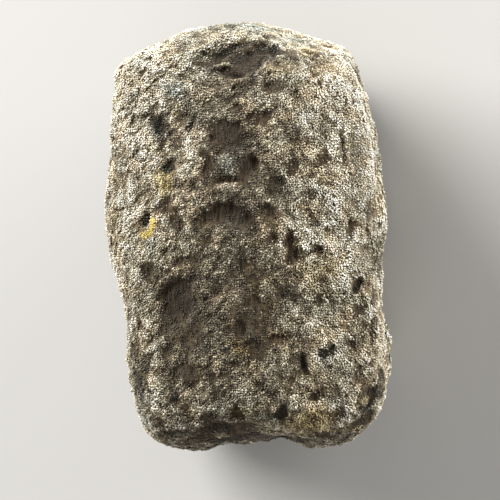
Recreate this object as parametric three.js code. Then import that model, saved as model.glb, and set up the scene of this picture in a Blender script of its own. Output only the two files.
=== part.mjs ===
// Petrified wood: one loose block of silicified wood, worn round, lying on its broad face.
// Millimetres. +X is the width, +Y the length (the old wood's grain), +Z up, and the origin
// is the middle of the bounding box's bottom.
//
// The block is one closed surface, r(d) for every direction d from its middle:
//   r = (sum of term^WEAR) ^ (-1 / WEAR)
// with one term for its outline and one for each flat that it is worn to. A high WEAR would
// leave sharp edges and a low one an egg. Broad swells and the larger hollows are added
// after that, along the surface normal, and the underside is cut flat where it rests.

import * as THREE from 'three';
import { mergeVertices } from 'three/addons/utils/BufferGeometryUtils.js';

// ---- Driving dimensions (mm and degrees) ----
const WIDTH = 46;
const LENGTH = 61;
const THICKNESS = 32;
const FACE_TURN = 25; // the outline's plane leans this far about Y, its front towards +X
const WEAR = 12;
const BED_CUT = 1.4; // height taken off the underside to leave the flat it rests on
const HOLLOW_FLOOR = 0.33; // share of a hollow's half size out to which it has its full depth
const HOLLOW_RIM = 1.25; // share of its half size where it has run out
const HOLLOW_REACH = 1.5; // how far round the block it may bend, in half sizes
const FACING_LEAST = 0.2; // cosine past which a spot no longer counts as on a side
const SEGMENTS = { width: 26, length: 34, thickness: 18 };

// The outline seen square on to the leaning front face: across (+ is towards +X), along.
const OUTLINE = [
  [19.3, 3.6], [18.8, 9.3], [17.8, 17.0], [16.1, 22.1], [13.8, 25.4], [9.3, 27.6],
  [5.1, 29.2], [0.1, 30.8], [-3.0, 30.8], [-7.7, 29.3], [-14.8, 26.6], [-18.8, 24.2],
  [-19.4, 20.0], [-19.5, 9.3], [-20.3, 3.6], [-20.1, -0.6], [-17.8, -9.1], [-16.7, -17.7],
  [-15.1, -24.6], [-13.0, -28.6], [-9.0, -30.4], [-3.4, -29.8], [3.9, -28.5],
  [10.8, -29.9], [16.4, -27.4], [19.7, -23.3], [20.8, -16.2], [19.2, -7.7], [18.8, -2.1],
];

// The flats. turn is the way a flat faces, about Y from +X (0) to +Z (90); tilt raises it
// towards the +Y end; distance is measured from the block's middle.
const FLATS = [
  { name: 'bed', turn: -90, tilt: 0, distance: 17.0 },
  { name: 'crest', turn: 92, tilt: 2, distance: 15.6 },
  { name: 'front', turn: 64, tilt: -2, distance: 17.7 },
  { name: 'right flank', turn: 4, tilt: 0, distance: 24.2 },
  { name: 'left flank', turn: 184, tilt: 2, distance: 24.0 },
  { name: 'left underside', turn: 235, tilt: 3, distance: 20.6 },
  { name: 'head, front', turn: 68, tilt: 50, distance: 29.3 },
  { name: 'head, back', turn: -105, tilt: 46, distance: 28.8 },
  { name: 'foot, front', turn: 72, tilt: -52, distance: 28.6 },
  { name: 'foot, back', turn: -75, tilt: -44, distance: 28.2 },
];

// Broad swells: plane waves through the block, each along its own direction.
const SWELLS = [
  { along: [0.2, 1.0, 0.1], length: 31, height: 0.34, phase: 0.4 },
  { along: [1.0, 0.35, -0.2], length: 23, height: 0.28, phase: 2.1 },
  { along: [-0.4, 0.8, 0.9], length: 19, height: 0.24, phase: 4.0 },
  { along: [0.9, -0.7, 0.5], length: 14, height: 0.16, phase: 1.2 },
  { along: [0.3, 0.5, -1.0], length: 12, height: 0.14, phase: 5.1 },
];

// The sides that a hollow can be on, by the way each faces: turn as for the flats.
const SIDES = {
  front: { turn: 65, tilt: 0 },
  back: { turn: -90, tilt: 0 },
  left: { turn: 160, tilt: 0 },
  right: { turn: -10, tilt: 0 },
  head: { turn: 65, tilt: 90 },
  foot: { turn: 65, tilt: -90 },
};

// Hollows. at is the middle, [across, along], as someone facing that side sees it; size is
// half of the width and height, lean turns it anticlockwise, and depth is how far in it goes.
const HOLLOWS = [
  { name: 'head hollow', side: 'front', at: [-2.1, 24.6], size: [5.6, 2.9], lean: 4, depth: 2.0 },
  { name: 'head notch', side: 'front', at: [3.9, 26.2], size: [2.6, 1.3], lean: -18, depth: 0.9 },
  { name: 'upper middle', side: 'front', at: [-2.2, 13.6], size: [3.9, 2.8], lean: -8, depth: 1.1 },
  { name: 'left of the knob', side: 'front', at: [-5.2, 10.4], size: [1.7, 2.4], lean: 20, depth: 0.9 },
  { name: 'left chain', side: 'front', at: [-11.6, 12.2], size: [1.8, 4.6], lean: 14, depth: 0.8 },
  { name: 'under the ledge', side: 'front', at: [-11.2, 4.2], size: [3.4, 1.6], lean: 14, depth: 0.9 },
  { name: 'wide middle', side: 'front', at: [-2.9, 2.6], size: [6.3, 2.4], lean: 6, depth: 1.3 },
  { name: 'right of the middle', side: 'front', at: [6.6, -1.8], size: [2.0, 3.0], lean: 28, depth: 0.8 },
  { name: 'middle slot', side: 'front', at: [-0.3, -3.4], size: [1.6, 3.4], lean: 0, depth: 0.8 },
  { name: 'left slab', side: 'front', at: [-9.4, -9.3], size: [4.4, 3.9], lean: 24, depth: 1.2 },
  { name: 'right slot', side: 'front', at: [15.5, 0.6], size: [1.2, 2.6], lean: -6, depth: 0.9 },
  { name: 'lower middle', side: 'front', at: [1.6, -16.2], size: [3.2, 2.4], lean: 30, depth: 1.0 },
  { name: 'lower right', side: 'front', at: [8.9, -18.6], size: [1.6, 2.6], lean: -12, depth: 0.8 },
  { name: 'foot hollow', side: 'front', at: [-1.2, -26.2], size: [4.4, 1.7], lean: 8, depth: 0.9 },
  { name: 'back, near the head', side: 'back', at: [8.5, 19.5], size: [4.6, 3.2], lean: 30, depth: 1.2 },
  { name: 'back, near the foot', side: 'back', at: [-9.5, -19.0], size: [3.6, 4.8], lean: -20, depth: 1.1 },
  { name: 'left, upper', side: 'left', at: [4.5, 13.0], size: [3.0, 4.6], lean: 12, depth: 1.2 },
  { name: 'left, lower', side: 'left', at: [-3.0, -12.5], size: [3.8, 5.6], lean: -8, depth: 1.3 },
  { name: 'right, upper', side: 'right', at: [2.0, 15.0], size: [3.2, 5.0], lean: 6, depth: 1.1 },
  { name: 'right, lower', side: 'right', at: [-3.5, -5.0], size: [2.6, 4.6], lean: -4, depth: 1.0 },
  { name: 'head end', side: 'head', at: [5.0, -3.0], size: [4.4, 3.0], lean: 18, depth: 1.2 },
  { name: 'foot end', side: 'foot', at: [-5.5, 2.0], size: [4.8, 3.4], lean: -14, depth: 1.3 },
];

const FINISH = { color: 0xb3a68f, roughness: 0.88, metalness: 0 };

const radians = THREE.MathUtils.degToRad;

/** The unit vector that faces by turn about Y from +X to +Z, raised by tilt towards +Y. */
function facing({ turn, tilt }) {
  const level = Math.cos(radians(tilt));
  const x = level * Math.cos(radians(turn));
  const z = level * Math.sin(radians(turn));
  return new THREE.Vector3(x, Math.sin(radians(tilt)), z);
}

/** The outline's radius at each of its points, by angle, run past both ends of one turn. */
function polarOutline() {
  const polar = OUTLINE.map(([across, along]) => ({
    angle: Math.atan2(along, across),
    radius: Math.hypot(across, along),
  })).sort((a, b) => a.angle - b.angle);
  const turned = (points, by) => points.map((p) => ({ angle: p.angle + by, radius: p.radius }));
  const full = 2 * Math.PI;
  return [...turned(polar.slice(-2), -full), ...polar, ...turned(polar.slice(0, 2), full)];
}

/** The outline's radius at an angle: a Catmull-Rom curve through the points' radii. */
function outlineRadius(polar, angle) {
  let k = 1;
  while (k < polar.length - 3 && polar[k + 1].angle <= angle) k += 1;
  const [before, from, to, after] = polar.slice(k - 1, k + 3);
  const span = to.angle - from.angle;
  const t = (angle - from.angle) / span;
  const leave = ((to.radius - before.radius) / (to.angle - before.angle)) * span;
  const arrive = ((after.radius - from.radius) / (after.angle - from.angle)) * span;
  return (2 * t ** 3 - 3 * t ** 2 + 1) * from.radius + (t ** 3 - 2 * t ** 2 + t) * leave
    + (3 * t ** 2 - 2 * t ** 3) * to.radius + (t ** 3 - t ** 2) * arrive;
}

/** The worn block's radius in a direction from its middle. */
function makeWornRadius() {
  const polar = polarOutline();
  const flats = FLATS.map((flat) => facing(flat).divideScalar(flat.distance));
  const across = facing({ turn: -FACE_TURN, tilt: 0 });
  return (direction) => {
    const right = direction.dot(across);
    const reach = Math.hypot(right, direction.y);
    let sum = (reach / outlineRadius(polar, Math.atan2(direction.y, right))) ** WEAR;
    for (const flat of flats) sum += Math.max(0, flat.dot(direction)) ** WEAR;
    return sum ** (-1 / WEAR);
  };
}

/** Calls visit(point, outward) for every vertex. A visit that changes point moves the vertex. */
function visitVertices(geometry, visit) {
  geometry.computeVertexNormals();
  const { position, normal } = geometry.attributes;
  const point = new THREE.Vector3();
  const outward = new THREE.Vector3();
  for (let i = 0; i < position.count; i += 1) {
    point.fromBufferAttribute(position, i);
    outward.fromBufferAttribute(normal, i);
    visit(point, outward);
    position.setXYZ(i, point.x, point.y, point.z);
  }
}

/** A closed box lattice whose every vertex has been moved out or in to the worn surface. */
function wornBlock() {
  const { width, length, thickness } = SEGMENTS;
  const box = new THREE.BoxGeometry(WIDTH, LENGTH, THICKNESS, width, length, thickness);
  box.deleteAttribute('normal');
  box.deleteAttribute('uv');
  const block = mergeVertices(box);
  const wornRadius = makeWornRadius();
  visitVertices(block, (point) => {
    point.normalize();
    point.multiplyScalar(wornRadius(point));
  });
  return block;
}

/** Raises and lowers the whole surface by the broad swells. */
function addSwells(block) {
  const waves = SWELLS.map(({ along, length, height, phase }) => ({
    step: new THREE.Vector3(...along).normalize().multiplyScalar((2 * Math.PI) / length),
    height,
    phase,
  }));
  visitVertices(block, (point, outward) => {
    const lift = waves.reduce((sum, w) => sum + w.height * Math.sin(w.step.dot(point) + w.phase), 0);
    point.addScaledVector(outward, lift);
  });
}

/** A side's own axes: out of the block, and to the right and up as someone facing it sees them. */
function sideAxes(side) {
  const out = facing(side);
  const front = facing(SIDES.front);
  const lengthwise = new THREE.Vector3(0, 1, 0);
  const up = side.tilt === 0 ? lengthwise : front.multiplyScalar(-Math.sign(side.tilt));
  return { out, up, right: new THREE.Vector3().crossVectors(up, out) };
}

/** The surface point that lies at across, along on a side, as seen from there. */
function pointOnSide(block, { out, up, right }, [across, along]) {
  const nearest = { miss: Infinity, point: new THREE.Vector3() };
  visitVertices(block, (point, outward) => {
    const miss = Math.hypot(point.dot(right) - across, point.dot(up) - along);
    if (outward.dot(out) > FACING_LEAST && miss < nearest.miss) {
      nearest.miss = miss;
      nearest.point.copy(point);
    }
  });
  return nearest.point;
}

/** Sinks one hollow: its full depth over the middle, easing out to nothing past its rim. */
function sinkHollow(block, { side, at, size, lean, depth }) {
  const axes = sideAxes(SIDES[side]);
  const middle = pointOnSide(block, axes, at);
  const [wide, tall] = size;
  const reach = HOLLOW_REACH * Math.max(wide, tall);
  const cos = Math.cos(radians(lean));
  const sin = Math.sin(radians(lean));
  const away = new THREE.Vector3();
  visitVertices(block, (point, outward) => {
    away.subVectors(point, middle);
    const right = away.dot(axes.right);
    const up = away.dot(axes.up);
    const across = (right * cos + up * sin) / wide;
    const along = (up * cos - right * sin) / tall;
    const share = Math.hypot(across, along, away.dot(axes.out) / reach);
    const sink = 1 - THREE.MathUtils.smoothstep(share, HOLLOW_FLOOR, HOLLOW_RIM);
    point.addScaledVector(outward, -depth * sink);
  });
}

/** Cuts the bed flat, fits the block to its full size and puts the bed's middle at the origin. */
function settle(block) {
  block.computeBoundingBox();
  const { min, max } = block.boundingBox;
  const bed = min.z + BED_CUT;
  visitVertices(block, (point) => {
    point.set(
      ((point.x - min.x) / (max.x - min.x) - 0.5) * WIDTH,
      ((point.y - min.y) / (max.y - min.y) - 0.5) * LENGTH,
      ((Math.max(point.z, bed) - bed) / (max.z - bed)) * THICKNESS,
    );
  });
  block.computeVertexNormals();
}

/** The whole stone as one mesh. */
function petrifiedWood() {
  const block = wornBlock();
  addSwells(block);
  for (const hollow of HOLLOWS) sinkHollow(block, hollow);
  settle(block);
  const stone = new THREE.Mesh(block, new THREE.MeshStandardMaterial(FINISH));
  stone.name = 'petrified_wood';
  return stone;
}

const group = new THREE.Group();
group.add(petrifiedWood());

export default group;
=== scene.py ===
"""Petrified wood: one loose block of silicified wood, worn round and crusted with quartz grains.

The stone lies on its broad side. Its form is worked out in millimetres about the block's own
middle and then fitted to the frame's box. +Y is the old wood's grain, and the front is the
side that leans FACE_TURN degrees from level towards +X.
"""

from __future__ import annotations

import itertools
import logging
from collections.abc import Iterable
from dataclasses import dataclass, field
from enum import Enum

import bpy
import numpy as np
from mathutils import Matrix, Vector

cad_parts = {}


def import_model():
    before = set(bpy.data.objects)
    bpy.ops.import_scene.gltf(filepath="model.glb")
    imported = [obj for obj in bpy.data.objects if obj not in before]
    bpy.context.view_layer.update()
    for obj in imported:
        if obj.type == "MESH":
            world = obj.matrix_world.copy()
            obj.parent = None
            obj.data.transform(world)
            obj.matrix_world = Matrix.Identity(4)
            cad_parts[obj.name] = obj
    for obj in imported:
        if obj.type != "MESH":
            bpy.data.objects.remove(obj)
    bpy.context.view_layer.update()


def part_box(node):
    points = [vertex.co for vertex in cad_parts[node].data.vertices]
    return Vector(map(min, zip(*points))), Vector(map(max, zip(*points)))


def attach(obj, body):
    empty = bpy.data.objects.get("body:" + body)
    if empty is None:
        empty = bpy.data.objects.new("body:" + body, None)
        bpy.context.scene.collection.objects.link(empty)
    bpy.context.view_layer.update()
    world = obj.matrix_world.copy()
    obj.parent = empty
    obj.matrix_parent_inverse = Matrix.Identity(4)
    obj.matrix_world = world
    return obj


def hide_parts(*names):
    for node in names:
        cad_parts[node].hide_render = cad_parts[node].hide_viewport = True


LOG = logging.getLogger("petrified_wood")

MM = 0.001  # metres
NODE = "petrified_wood"

Array = np.ndarray


def facing(turn: float, tilt: float = 0.0) -> Array:
    """The unit vector turned from +X towards +Z, then tilted up towards +Y, by degrees."""
    # Cos tilt times cos turn, sin tilt, and cos tilt times sin turn.
    t, e = np.radians(turn), np.radians(tilt)
    return np.array([np.cos(e) * np.cos(t), np.sin(e), np.cos(e) * np.sin(t)])


def ease(share: Array, start: float, end: float) -> Array:
    """A smooth step of share from 0 at start to 1 at end: t squared times three less two t."""
    t = np.clip((share - start) / (end - start), 0.0, 1.0)
    return t * t * (3.0 - 2.0 * t)


def linear(colour: str) -> tuple[float, float, float, float]:
    """Turns an sRGB hex colour into the linear RGBA that a shader's socket takes.

    Args:
        colour: six hex digits after a hash sign.

    Returns:
        Red, green, blue and an alpha of 1.
    """
    channels = (int(colour[k : k + 2], 16) / 255 for k in (1, 3, 5))
    red, green, blue = (
        c / 12.92 if c <= 0.04045 else ((c + 0.055) / 1.055) ** 2.4 for c in channels
    )
    return red, green, blue, 1.0


def add_node(
    tree: bpy.types.NodeTree,
    kind: str,
    inputs: dict[str | int, object] | None = None,
    **settings: object,
) -> bpy.types.Node:
    """Adds a node, sets what it is told to and links what it is given.

    Args:
        tree: the node tree that it goes into.
        kind: the node's Blender type name.
        inputs: a value, or another node's output to link, for each named or numbered input.
        settings: the node's own properties.

    Returns:
        The new node.
    """
    node = tree.nodes.new(kind)
    for name, value in settings.items():
        setattr(node, name, value)
    for name, value in (inputs or {}).items():
        socket = node.inputs[name]
        if isinstance(value, bpy.types.NodeSocket):
            tree.links.new(value, socket)
        else:
            socket.default_value = value
    return node


def empty_material(name: str) -> bpy.types.Material:
    """A new material whose node tree is empty, for a finish to fill.

    Args:
        name: the material's name.

    Returns:
        The material.
    """
    made = bpy.data.materials.new(name)
    made.use_nodes = True
    made.node_tree.nodes.clear()
    return made


def put_in_scene(name: str, data: bpy.types.ID) -> bpy.types.Object:
    """Makes an object and puts it in the scene, at the origin.

    Args:
        name: the object's name.
        data: its mesh, light or camera.

    Returns:
        The object.
    """
    made = bpy.data.objects.new(name, data)
    bpy.context.scene.collection.objects.link(made)
    return made


class GradientNoise:
    """Smooth noise in three dimensions, about -1 to 1, from one random slope per lattice point."""

    TABLE = 256
    GAIN = 1.6  # brings the blended sum to about -1 to 1
    STRAY = 0.42  # how far a scattered middle strays from its cell's own, in cells

    def __init__(self, seed: int) -> None:
        """Draws the slopes and the order they are dealt in.

        Args:
            seed: which noise it is.
        """
        rng = np.random.default_rng(seed)
        self.order = rng.permutation(self.TABLE)
        slopes = rng.normal(size=(self.TABLE, 3))
        self.slopes = slopes / np.linalg.norm(slopes, axis=1, keepdims=True)

    def _deal(self, cells: Array) -> Array:
        """The table row of each lattice cell, a whole number that repeats every TABLE cells.

        Args:
            cells: whole numbers, three to a row.

        Returns:
            A row of the table of slopes for each cell.
        """
        order, last = self.order, self.TABLE - 1
        row = order[cells[:, 0] & last]
        row = order[(row + cells[:, 1]) & last]
        return order[(row + cells[:, 2]) & last]

    def value(self, points: Array) -> Array:
        """Each corner's slope times the way to it, blended with 6t^5 - 15t^4 + 10t^3.

        Args:
            points: positions, one row each, in lattice cells.

        Returns:
            One number for each point.
        """
        base = np.floor(points).astype(np.int64)
        within = points - base
        fade = within**3 * (within * (within * 6 - 15) + 10)
        total = np.zeros(len(points))
        for corner in itertools.product((0, 1), repeat=3):
            step = np.array(corner)
            slope = self.slopes[self._deal(base + step)]
            weight = np.where(step, fade, 1 - fade).prod(axis=1)
            total += weight * (slope * (within - step)).sum(axis=1)
        return self.GAIN * total

    def cells(self, points: Array) -> tuple[Array, Array]:
        """The nearest of many scattered cell middles, one for every lattice cell.

        Args:
            points: positions, one row each, in cell widths.

        Returns:
            How far each point is from the nearest middle, and that middle's lattice cell.
        """
        base = np.floor(points).astype(np.int64)
        nearest = np.full(len(points), np.inf)
        found = base.copy()
        for step in itertools.product((-1, 0, 1), repeat=3):
            cell = base + np.array(step)
            middle = cell + 0.5 + self.STRAY * self.slopes[self._deal(cell)]
            away = np.linalg.norm(points - middle, axis=1)
            closer = away < nearest
            nearest[closer] = away[closer]
            found[closer] = cell[closer]
        return nearest, found


class Side(Enum):
    """The sides that a mark can be on, by the way each faces: turn and tilt in degrees."""

    FRONT = (65.0, 0.0)
    BACK = (-90.0, 0.0)
    LEFT = (160.0, 0.0)
    RIGHT = (-10.0, 0.0)
    HEAD = (65.0, 90.0)
    FOOT = (65.0, -90.0)

    def axes(self) -> tuple[Array, Array, Array]:
        """To the right, up and out of the block, as someone facing this side sees them.

        Returns:
            The three unit vectors.
        """
        turn, tilt = self.value
        out = facing(turn, tilt)
        up = np.array([0.0, 1.0, 0.0]) if tilt == 0 else -np.sign(tilt) * facing(turn)
        return np.cross(up, out), up, out


FLOW_LEANS = (42.0, 120.0)  # degrees from across: the ridges' leaning at the left and right
FLOW_MIDDLE = 6.0  # mm from the middle, where the leanings have mostly traded places


def flow(place: Array, noise: GradientNoise, length: float, width: float) -> Array:
    """Ridges that fan out from the head: noise drawn out along two leanings.

    The right leaning's share is (1 + tanh(across / FLOW_MIDDLE)) / 2, and the left one's is
    the rest of it.

    Args:
        place: positions, one row each, in mm.
        noise: where the ridges come from.
        length: a ridge's length, in mm.
        width: a ridge's width, in mm.

    Returns:
        The ridges' height at each point, about -1 to 1.
    """
    right, up, out = Side.FRONT.axes()
    across, along, deep = place @ right, place @ up, place @ out
    share = 0.5 + 0.5 * np.tanh(across / FLOW_MIDDLE)
    total = np.zeros(len(place))
    for lean, weight in zip(FLOW_LEANS, (1.0 - share, share), strict=True):
        turn = np.radians(lean)
        run = (across * np.cos(turn) + along * np.sin(turn)) / length
        rise = (along * np.cos(turn) - across * np.sin(turn)) / width
        drawn = np.stack([run, rise + lean, deep / width], axis=1)
        total += weight * noise.value(drawn)
    return total


@dataclass
class Surface:
    """A closed surface of four-sided faces, in millimetres about the block's middle."""

    LEAST_FACING = 0.2  # cosine past which a point no longer counts as on a side

    points: Array
    faces: Array

    def normals(self) -> Array:
        """The unit normal at each point: the sum of its faces' crossed diagonals.

        Returns:
            One row for each point.
        """
        corner = self.points[self.faces]
        crossed = np.cross(corner[:, 2] - corner[:, 0], corner[:, 3] - corner[:, 1])
        total = np.zeros_like(self.points)
        for k in range(4):
            for axis in range(3):
                total[:, axis] += np.bincount(
                    self.faces[:, k], crossed[:, axis], minlength=len(self.points)
                )
        return total / np.linalg.norm(total, axis=1, keepdims=True)

    def raise_by(self, height: Array) -> None:
        """Moves every point out along its normal by its own height."""
        self.points = self.points + self.normals() * height[:, None]

    def spot(self, side: Side, at: tuple[float, float]) -> Array:
        """The point of a side that someone facing it sees at across, along.

        Args:
            side: the side.
            at: how far to the right and up of the block's middle, in mm.

        Returns:
            The nearest point that faces that way.
        """
        right, up, out = side.axes()
        miss = np.hypot(self.points @ right - at[0], self.points @ up - at[1])
        miss[self.normals() @ out < self.LEAST_FACING] = np.inf
        return self.points[np.argmin(miss)]


@dataclass(frozen=True)
class Flat:
    """One flat that the block is worn to: the way it faces and its distance from the middle."""

    turn: float
    tilt: float
    distance: float


@dataclass(frozen=True)
class Swell:
    """A plane wave through the block: its direction, wavelength, height and phase."""

    along: tuple[float, float, float]
    length: float
    height: float
    phase: float


@dataclass(frozen=True)
class Hollow:
    """A hollow, or with a negative depth a knob, on one side of the block.

    at is its middle as someone facing the side sees it and size half its width and height.
    lean turns it anticlockwise, and bare is how far its floor is free of grains, 0 to 1.
    """

    at: tuple[float, float]
    size: tuple[float, float]
    lean: float
    depth: float
    bare: float = 1.0
    side: Side = Side.FRONT


@dataclass(frozen=True)
class Scatter:
    """Hollows to draw on one side: how many, where across and along, and how drawn out."""

    side: Side
    count: int
    across: tuple[float, float]
    along: tuple[float, float]
    stretch: float


@dataclass(frozen=True)
class Stain:
    """A patch of mineral colour: its middle, half size, lean, strength from 0 to 1 and side."""

    at: tuple[float, float]
    size: tuple[float, float]
    lean: float
    strength: float
    side: Side = Side.FRONT


FACE_TURN = 25.0  # the outline's plane leans this far about Y, its front towards +X

# The outline seen square on to the leaning front: across (+ is towards +X) and along, in mm.
OUTLINE = (
    (19.0, 3.6), (18.4, 9.3), (17.7, 17.2), (16.2, 22.0), (14.1, 25.7), (9.3, 27.8),
    (5.1, 29.5), (0.1, 31.2), (-3.0, 31.4), (-7.7, 29.7), (-14.8, 26.7), (-18.8, 24.2),
    (-19.3, 20.0), (-19.4, 9.3), (-20.1, 3.6), (-19.8, -0.6), (-17.4, -9.1), (-16.5, -17.7),
    (-15.1, -24.6), (-13.0, -28.6), (-9.0, -30.4), (-3.4, -29.8), (3.7, -28.5), (5.9, -28.2),
    (10.8, -29.9), (16.4, -27.4), (19.7, -23.3), (20.8, -16.2), (19.1, -7.7), (18.5, -2.1),
)  # fmt: skip

FLATS = {
    "bed": Flat(-90, 0, 17.0),
    "crest": Flat(92, 2, 15.6),
    "front": Flat(64, -2, 17.7),
    "right flank": Flat(4, 0, 24.2),
    "left flank": Flat(184, 2, 24.0),
    "left underside": Flat(235, 3, 20.6),
    "head, front": Flat(68, 50, 29.3),
    "head, back": Flat(-105, 46, 28.8),
    "foot, front": Flat(72, -52, 28.6),
    "foot, back": Flat(-75, -44, 28.2),
}

SWELLS = (
    Swell((0.2, 1.0, 0.1), 31, 0.34, 0.4),
    Swell((1.0, 0.35, -0.2), 23, 0.28, 2.1),
    Swell((-0.4, 0.8, 0.9), 19, 0.24, 4.0),
    Swell((0.9, -0.7, 0.5), 14, 0.16, 1.2),
    Swell((0.3, 0.5, -1.0), 12, 0.14, 5.1),
)

# Middles and half sizes are in mm, and so are depths.
FRONT_HOLLOWS = (
    Hollow((-1.7, 24.4), (4.9, 2.9), 0, 2.0, 0.7),  # the deep one under the rim
    Hollow((2.9, 25.9), (2.9, 1.2), -16, 1.7, 0.7),
    Hollow((-4.6, 25.7), (2.4, 0.9), 22, 1.0, 0.6),
    Hollow((0.3, 25.3), (1.2, 1.4), 10, 2.3),
    Hollow((-1.2, 22.5), (1.3, 0.7), 8, 2.1),
    Hollow((-3.4, 23.7), (1.6, 0.4), 22, -0.15, 0.0),
    Hollow((-1.0, 21.3), (1.6, 0.5), 12, -0.3, 0.0),
    Hollow((3.5, 22.8), (1.4, 1.3), 0, -0.55, 0.0),
    Hollow((-1.9, 20.9), (0.8, 0.5), -30, 0.4, 0.4),
    Hollow((4.4, 20.6), (1.9, 0.8), 12, 0.3, 0.7),
    Hollow((1.9, 16.4), (2.3, 1.0), 15, 0.6),
    Hollow((-2.6, 13.6), (3.6, 2.5), -6, 1.0),
    Hollow((-5.3, 10.2), (1.0, 1.9), 20, 0.75),
    Hollow((0.3, 8.9), (1.1, 2.7), -24, 0.7),
    Hollow((-2.3, 7.6), (2.3, 1.1), 0, 0.6),
    Hollow((-2.5, 10.1), (1.7, 1.4), 0, -0.5, 0.0),  # the knob they ring
    Hollow((-6.4, 8.1), (1.5, 1.2), 20, -0.35, 0.0),
    Hollow((-9.6, 21.1), (1.1, 0.9), 0, -0.3, 0.0),
    Hollow((-8.0, 5.2), (2.9, 0.8), 24, -0.3, 0.0),  # the ridge over the long one
    Hollow((-2.0, 6.3), (3.0, 0.8), 0, -0.2, 0.0),
    Hollow((2.7, 5.0), (2.2, 0.8), -34, -0.3, 0.0),
    Hollow((6.7, 9.4), (1.2, 1.6), 0, 0.3),
    Hollow((5.0, 6.9), (0.9, 1.2), 0, 0.35, 0.6),
    Hollow((-12.6, 15.7), (1.3, 1.9), 20, 0.6, 0.5),
    Hollow((-11.3, 12.1), (0.9, 1.5), 12, 0.5, 0.4),
    Hollow((-10.6, 9.6), (1.1, 1.1), 0, 0.55, 0.5),
    Hollow((-9.5, 12.9), (1.4, 1.0), 30, 0.3),
    Hollow((-10.9, 4.2), (3.0, 1.2), 13, 0.8),
    Hollow((-9.5, 2.2), (1.3, 1.4), 0, 0.5),
    Hollow((-4.9, 2.4), (3.2, 1.4), 22, 1.0, 0.9),
    Hollow((-0.5, 2.6), (2.9, 1.7), -24, 1.0, 0.9),
    Hollow((-2.9, 3.1), (2.8, 2.0), 0, 1.1),
    Hollow((6.9, -1.4), (1.4, 2.3), 32, 0.8),
    Hollow((9.8, -1.7), (1.4, 1.0), 8, 0.8),
    Hollow((14.9, 1.0), (0.8, 1.9), -8, 0.7),
    Hollow((15.5, -6.8), (0.7, 1.0), -20, 0.9),
    Hollow((16.8, -9.4), (0.4, 1.6), -55, 0.7, 0.5),
    Hollow((13.8, -1.7), (0.8, 0.7), 0, 0.35, 0.4),
    Hollow((-0.3, -3.1), (0.9, 2.1), 0, 0.5),
    Hollow((-8.4, -3.6), (2.1, 0.8), 14, 0.45, 0.6),
    Hollow((-13.8, -4.4), (1.3, 1.3), 0, 0.4),
    Hollow((-9.4, -8.7), (3.6, 3.1), 22, 1.1),  # the broad slab at the left
    Hollow((1.1, -9.1), (2.1, 0.9), 12, 0.45),
    Hollow((-0.6, -12.7), (1.1, 1.7), 8, 0.7),
    Hollow((1.6, -15.5), (2.0, 1.8), 30, 0.8),
    Hollow((4.5, -14.0), (2.3, 1.0), 10, 0.7),
    Hollow((-7.5, -18.9), (1.4, 2.3), 12, 0.4),
    Hollow((-1.4, -17.6), (1.0, 0.8), 0, 0.25),
    Hollow((8.1, -17.6), (0.9, 1.7), -4, 0.85, 0.9),
    Hollow((11.6, -15.8), (1.4, 1.0), 0, 0.45, 0.7),
    Hollow((15.1, -14.6), (0.8, 1.1), 0, 0.9, 0.9),
    Hollow((15.8, -10.2), (1.1, 1.2), 0, 0.25),
    Hollow((10.1, -21.9), (1.4, 1.0), 22, 0.9),
    Hollow((3.7, -21.6), (1.0, 0.7), 0, 0.35, 0.7),
    Hollow((5.2, -24.4), (0.9, 1.6), -28, 0.9),
    Hollow((-4.0, -21.2), (0.9, 0.9), 0, 0.3, 0.5),
    Hollow((-9.5, -22.9), (0.9, 0.8), 0, 0.4, 0.6),
    Hollow((-0.9, -24.3), (1.5, 1.3), 5, 0.9),
    Hollow((-2.6, -27.0), (5.6, 1.9), 4, 0.6, 0.8),
    Hollow((-2.9, -27.3), (1.9, 0.8), 0, -0.4, 0.0),  # the oval patch in it
    Hollow((12.7, -24.4), (1.5, 0.8), 28, 0.75, 0.8),
    Hollow((17.9, -22.2), (1.0, 2.6), -20, 1.2),
    Hollow((13.9, 11.2), (0.35, 3.2), 8, 0.9, 0.5),  # the splits along the grain
    Hollow((17.3, 1.5), (0.35, 4.6), 2, 0.9, 0.5),
    Hollow((17.9, -13.2), (0.4, 3.2), 4, 1.0, 0.5),
    Hollow((10.2, 24.0), (2.4, 0.5), -42, 0.45, 0.4),
    Hollow((-10.1, 23.7), (0.9, 1.3), 14, 0.3, 0.1),
    Hollow((-6.4, 23.8), (0.35, 0.9), -18, 0.35),
    Hollow((-13.9, 2.0), (0.8, 1.0), -35, 1.3, 0.2),  # the pit inside the chip
)

SCATTER = (
    Scatter(Side.BACK, 34, (-17.0, 17.0), (-27.0, 27.0), 1.9),
    Scatter(Side.LEFT, 30, (-12.0, 4.0), (-27.0, 27.0), 2.4),
    Scatter(Side.RIGHT, 28, (-3.0, 12.0), (-27.0, 27.0), 2.4),
    Scatter(Side.HEAD, 16, (-16.0, 16.0), (-5.0, 13.0), 1.0),
    Scatter(Side.FOOT, 16, (-16.0, 16.0), (-13.0, 5.0), 1.0),
)

OCHRE = (
    Stain((-11.2, 7.8), (1.8, 2.8), 10, 0.85),
    Stain((10.4, -4.4), (3.4, 3.2), 0, 0.4),
    Stain((9.0, -25.4), (4.2, 2.4), 0, 0.7),
    Stain((-0.8, -15.3), (1.3, 1.6), 0, 0.7),
    Stain((-10.2, 23.9), (2.0, 2.2), 0, 0.15),
    Stain((8.6, 25.4), (1.6, 1.0), 0, 0.6),
    Stain((0.4, -24.0), (2.0, 1.2), 0, 0.4),
    Stain((-4.0, 8.0), (3.0, 4.0), 20, 0.6, Side.BACK),
    Stain((1.0, -2.0), (2.6, 4.0), 0, 0.6, Side.LEFT),
    Stain((3.0, 6.0), (1.8, 4.2), 0, 0.5, Side.RIGHT),
)

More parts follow.
